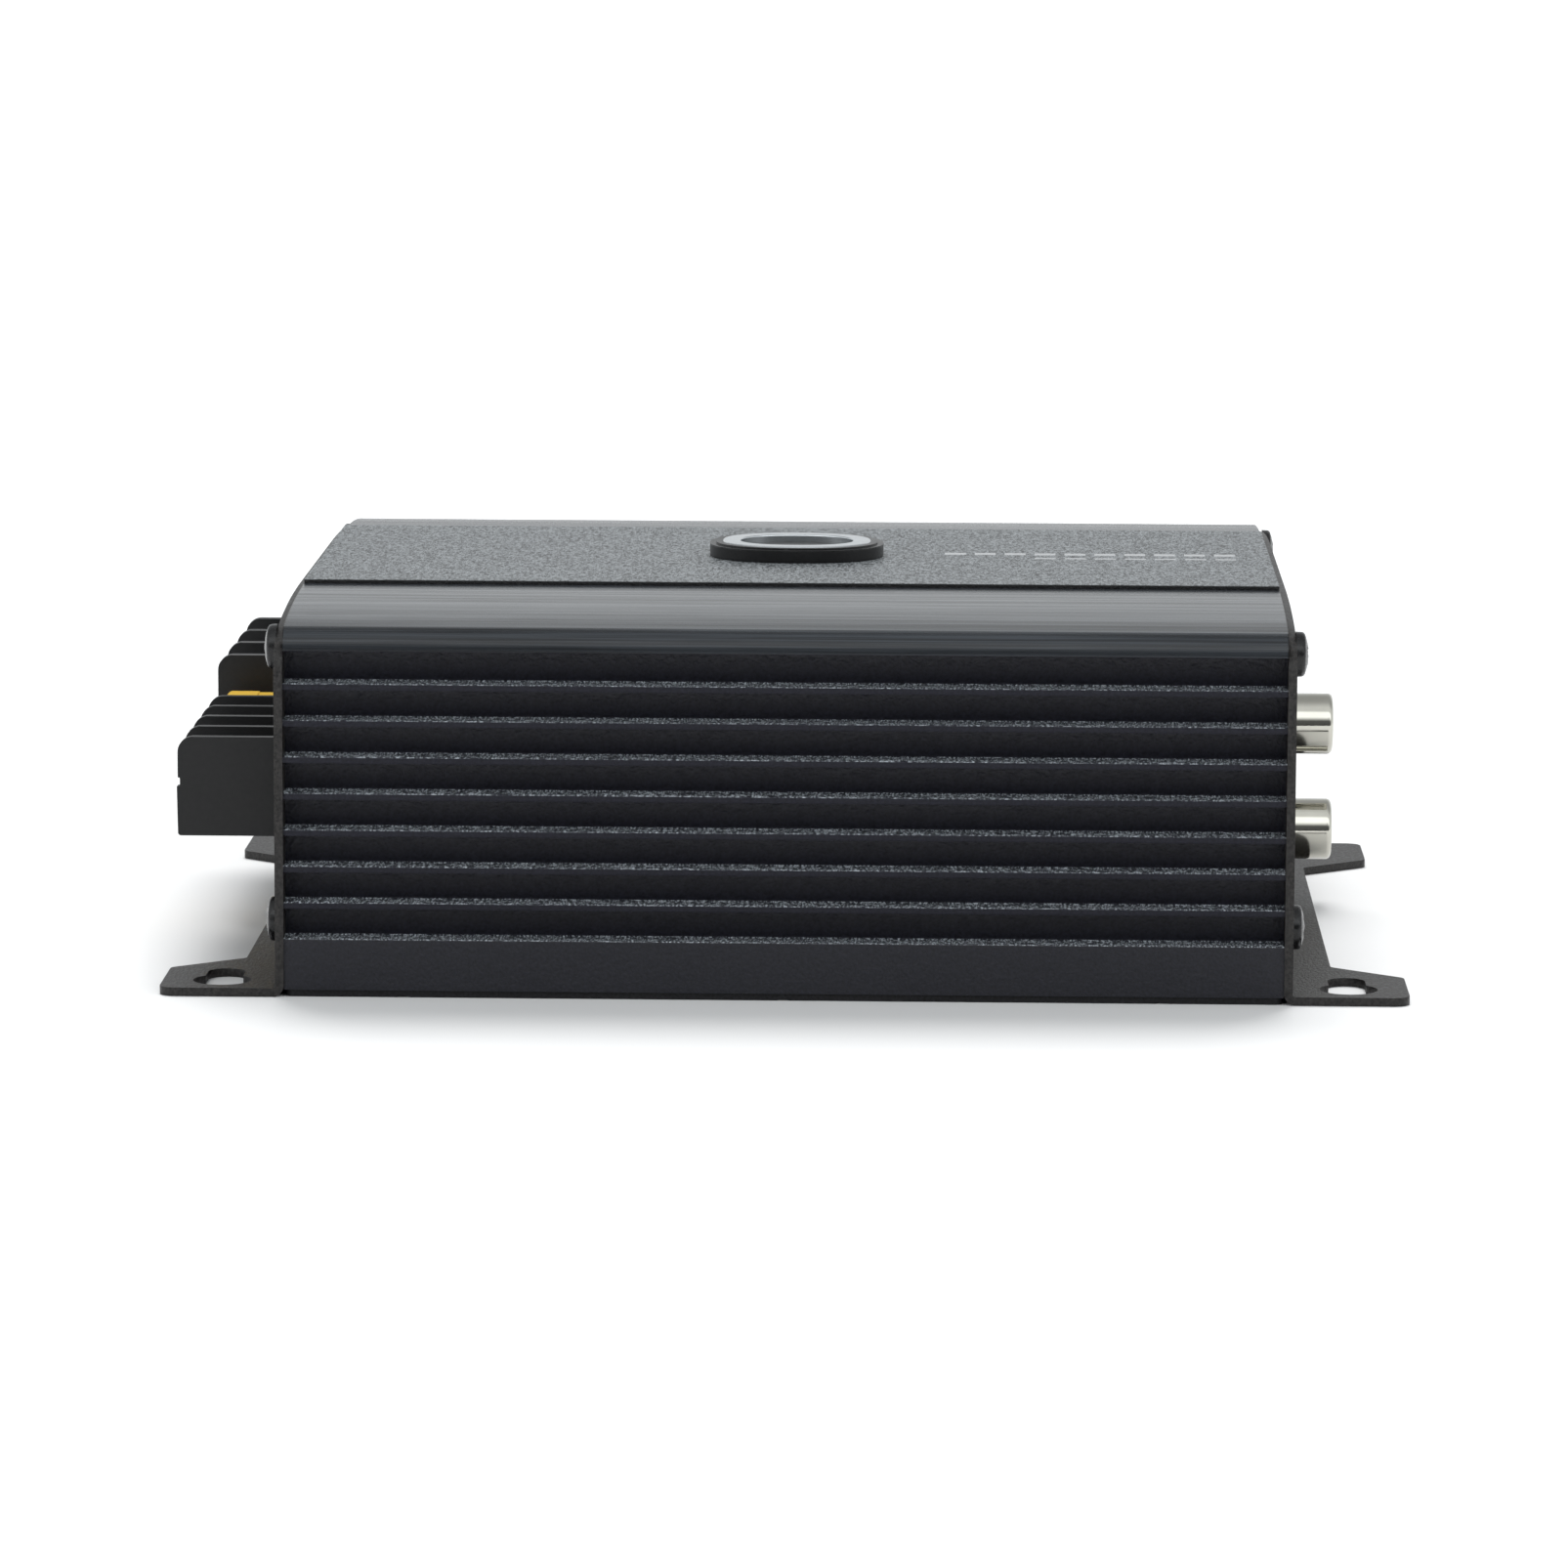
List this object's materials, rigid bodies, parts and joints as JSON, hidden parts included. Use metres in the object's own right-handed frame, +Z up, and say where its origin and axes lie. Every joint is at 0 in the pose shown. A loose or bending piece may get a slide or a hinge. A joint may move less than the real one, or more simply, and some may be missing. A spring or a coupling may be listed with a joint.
{
  "type": "car audio amplifier",
  "caption": "Compact car audio amplifier: finned heatsink cover between folded end plates with mounting tabs, terminal blocks, blade fuse, phono inputs and trim controls.",
  "frame": {"origin": "centre of the base, on the plane the mounting tabs stand on", "axes": "+X towards the input end with the phono sockets, -X the wiring end with the terminal blocks, -Y the finned front seen in the view, +Z up out of the badge"},
  "size_m": [0.1582, 0.125, 0.0514],
  "materials": {
    "anodised_black_extrusion": "dark anodised extrusion, brushed crown",
    "textured_silver_panel": "fine bead-blasted satin grey",
    "powder_coated_steel": "fine texture black powder coat",
    "badge_plastic": "gloss black",
    "badge_chrome": "satin chrome",
    "screw_black": "black oxide",
    "screw_zinc": "zinc plated",
    "terminal_plastic": "glass-filled black nylon",
    "contact_nickel": "nickel plated brass",
    "rca_nickel": "nickel plated brass",
    "white_plastic": "white nylon",
    "red_plastic": "red nylon",
    "fuse_yellow": "translucent amber yellow",
    "fuse_zinc": "tin plated zinc",
    "knob_plastic": "moulded black",
    "led_red": "clear red epoxy",
    "board_green": "solder-masked glass epoxy board",
    "chip_black": "moulded epoxy",
    "capacitor_sleeve": "shrink sleeve with bare aluminium top",
    "ferrite": "coated ferrite",
    "copper_wire": "enamelled copper wire",
    "pad_grey": "silicone thermal pad",
    "plain_steel": "zinc plated steel"
  },
  "bodies": {
    "amplifier": {"badge_base": "badge_plastic", "badge_ring": "badge_chrome", "base_cover": "powder_coated_steel", "base_cover_screws": "screw_black", "board_screws": "screw_zinc", "clamp_bar_screws": "screw_zinc", "control_chips": "chip_black", "control_pot_bodies": "chip_black", "crossover_switch_body": "plain_steel", "end_plate_input": "powder_coated_steel", "end_plate_screws_input": "screw_black", "end_plate_screws_wiring": "screw_black", "end_plate_wiring": "powder_coated_steel", "fuse_clips": "contact_nickel", "fuse_holder": "terminal_plastic", "heatsink_cover": "anodised_black_extrusion", "high_level_input_pins": "contact_nickel", "high_level_input_socket": "white_plastic", "input_capacitors": "capacitor_sleeve", "main_circuit_board": "board_green", "output_inductors": "ferrite", "output_transistors": "chip_black", "pcb_standoffs": "plain_steel", "power_contact_bars": "contact_nickel", "power_supply_transistors": "chip_black", "power_terminal_block": "terminal_plastic", "rail_capacitors": "capacitor_sleeve", "rca_centre_contacts": "rca_nickel", "rca_housing": "terminal_plastic", "rca_insulator_red": "red_plastic", "rca_insulator_white": "white_plastic", "rca_shells": "rca_nickel", "speaker_contact_bars": "contact_nickel", "speaker_terminal_block": "terminal_plastic", "status_leds": "led_red", "top_panel": "textured_silver_panel", "transformer_core": "ferrite", "transformer_winding": "copper_wire", "transistor_clamp_bars": "plain_steel", "transistor_pads": "pad_grey"},
    "gain_control": {"gain_knob": "knob_plastic"},
    "bass_boost_control": {"bass_boost_knob": "knob_plastic"},
    "crossover_control": {"crossover_knob": "knob_plastic"},
    "crossover_switch": {"crossover_switch_slider": "knob_plastic"},
    "fuse": {"fuse_body": "fuse_yellow", "fuse_element": "fuse_zinc"},
    "speaker_washer_1": {"speaker_clamp_washer_1": "screw_zinc"},
    "speaker_screw_1": {"speaker_terminal_screw_1": "screw_zinc"},
    "speaker_washer_2": {"speaker_clamp_washer_2": "screw_zinc"},
    "speaker_screw_2": {"speaker_terminal_screw_2": "screw_zinc"},
    "speaker_washer_3": {"speaker_clamp_washer_3": "screw_zinc"},
    "speaker_screw_3": {"speaker_terminal_screw_3": "screw_zinc"},
    "speaker_washer_4": {"speaker_clamp_washer_4": "screw_zinc"},
    "speaker_screw_4": {"speaker_terminal_screw_4": "screw_zinc"},
    "power_washer_1": {"power_clamp_washer_1": "screw_zinc"},
    "power_screw_1": {"power_terminal_screw_1": "screw_zinc"},
    "power_washer_2": {"power_clamp_washer_2": "screw_zinc"},
    "power_screw_2": {"power_terminal_screw_2": "screw_zinc"},
    "power_washer_3": {"power_clamp_washer_3": "screw_zinc"},
    "power_screw_3": {"power_terminal_screw_3": "screw_zinc"}
  },
  "joints": [
    {"name": "gain_turn", "type": "hinge", "parent": "amplifier", "child": "gain_control", "pos_m": [0.0643, -0.0415, 0.0128], "axis": [1, 0, 0], "range_deg": [-140, 140]},
    {"name": "bass_boost_turn", "type": "hinge", "parent": "amplifier", "child": "bass_boost_control", "pos_m": [0.0643, -0.0275, 0.0128], "axis": [1, 0, 0], "range_deg": [-140, 140]},
    {"name": "crossover_turn", "type": "hinge", "parent": "amplifier", "child": "crossover_control", "pos_m": [0.0643, -0.0135, 0.0128], "axis": [1, 0, 0], "range_deg": [-140, 140]},
    {"name": "crossover_switch_slide", "type": "slide", "parent": "amplifier", "child": "crossover_switch", "axis": [0, 1, 0], "range_m": [-0.002, 0.002]},
    {"name": "fuse_pull", "type": "slide", "parent": "amplifier", "child": "fuse", "axis": [-1, 0, 0], "range_m": [0, 0.0105]},
    {"name": "speaker_washer_1_lift", "type": "slide", "parent": "amplifier", "child": "speaker_washer_1", "axis": [0, 0, 1], "range_m": [0, 0.0024]},
    {"name": "speaker_screw_1_turn", "type": "hinge", "parent": "speaker_washer_1", "child": "speaker_screw_1", "pos_m": [-0.0717, -0.04125, 0.024], "axis": [0, 0, 1], "range_deg": [0, 1440]},
    {"name": "speaker_washer_2_lift", "type": "slide", "parent": "amplifier", "child": "speaker_washer_2", "axis": [0, 0, 1], "range_m": [0, 0.0024]},
    {"name": "speaker_screw_2_turn", "type": "hinge", "parent": "speaker_washer_2", "child": "speaker_screw_2", "pos_m": [-0.0717, -0.03175, 0.024], "axis": [0, 0, 1], "range_deg": [0, 1440]},
    {"name": "speaker_washer_3_lift", "type": "slide", "parent": "amplifier", "child": "speaker_washer_3", "axis": [0, 0, 1], "range_m": [0, 0.0024]},
    {"name": "speaker_screw_3_turn", "type": "hinge", "parent": "speaker_washer_3", "child": "speaker_screw_3", "pos_m": [-0.0717, -0.02225, 0.024], "axis": [0, 0, 1], "range_deg": [0, 1440]},
    {"name": "speaker_washer_4_lift", "type": "slide", "parent": "amplifier", "child": "speaker_washer_4", "axis": [0, 0, 1], "range_m": [0, 0.0024]},
    {"name": "speaker_screw_4_turn", "type": "hinge", "parent": "speaker_washer_4", "child": "speaker_screw_4", "pos_m": [-0.0717, -0.01275, 0.024], "axis": [0, 0, 1], "range_deg": [0, 1440]},
    {"name": "power_washer_1_lift", "type": "slide", "parent": "amplifier", "child": "power_washer_1", "axis": [0, 0, 1], "range_m": [0, 0.0028]},
    {"name": "power_screw_1_turn", "type": "hinge", "parent": "power_washer_1", "child": "power_screw_1", "pos_m": [-0.0717, 0.0118, 0.024], "axis": [0, 0, 1], "range_deg": [0, 1440]},
    {"name": "power_washer_2_lift", "type": "slide", "parent": "amplifier", "child": "power_washer_2", "axis": [0, 0, 1], "range_m": [0, 0.0028]},
    {"name": "power_screw_2_turn", "type": "hinge", "parent": "power_washer_2", "child": "power_screw_2", "pos_m": [-0.0717, 0.0248, 0.024], "axis": [0, 0, 1], "range_deg": [0, 1440]},
    {"name": "power_washer_3_lift", "type": "slide", "parent": "amplifier", "child": "power_washer_3", "axis": [0, 0, 1], "range_m": [0, 0.0028]},
    {"name": "power_screw_3_turn", "type": "hinge", "parent": "power_washer_3", "child": "power_screw_3", "pos_m": [-0.0717, 0.0378, 0.024], "axis": [0, 0, 1], "range_deg": [0, 1440]}
  ],
  "couplings": [
    {"joint": "speaker_screw_1_turn", "follows": "speaker_washer_1_lift", "rad_per_m": 10472},
    {"joint": "speaker_screw_2_turn", "follows": "speaker_washer_2_lift", "rad_per_m": 10472},
    {"joint": "speaker_screw_3_turn", "follows": "speaker_washer_3_lift", "rad_per_m": 10472},
    {"joint": "speaker_screw_4_turn", "follows": "speaker_washer_4_lift", "rad_per_m": 10472},
    {"joint": "power_screw_1_turn", "follows": "power_washer_1_lift", "rad_per_m": 8976},
    {"joint": "power_screw_2_turn", "follows": "power_washer_2_lift", "rad_per_m": 8976},
    {"joint": "power_screw_3_turn", "follows": "power_washer_3_lift", "rad_per_m": 8976}
  ]
}
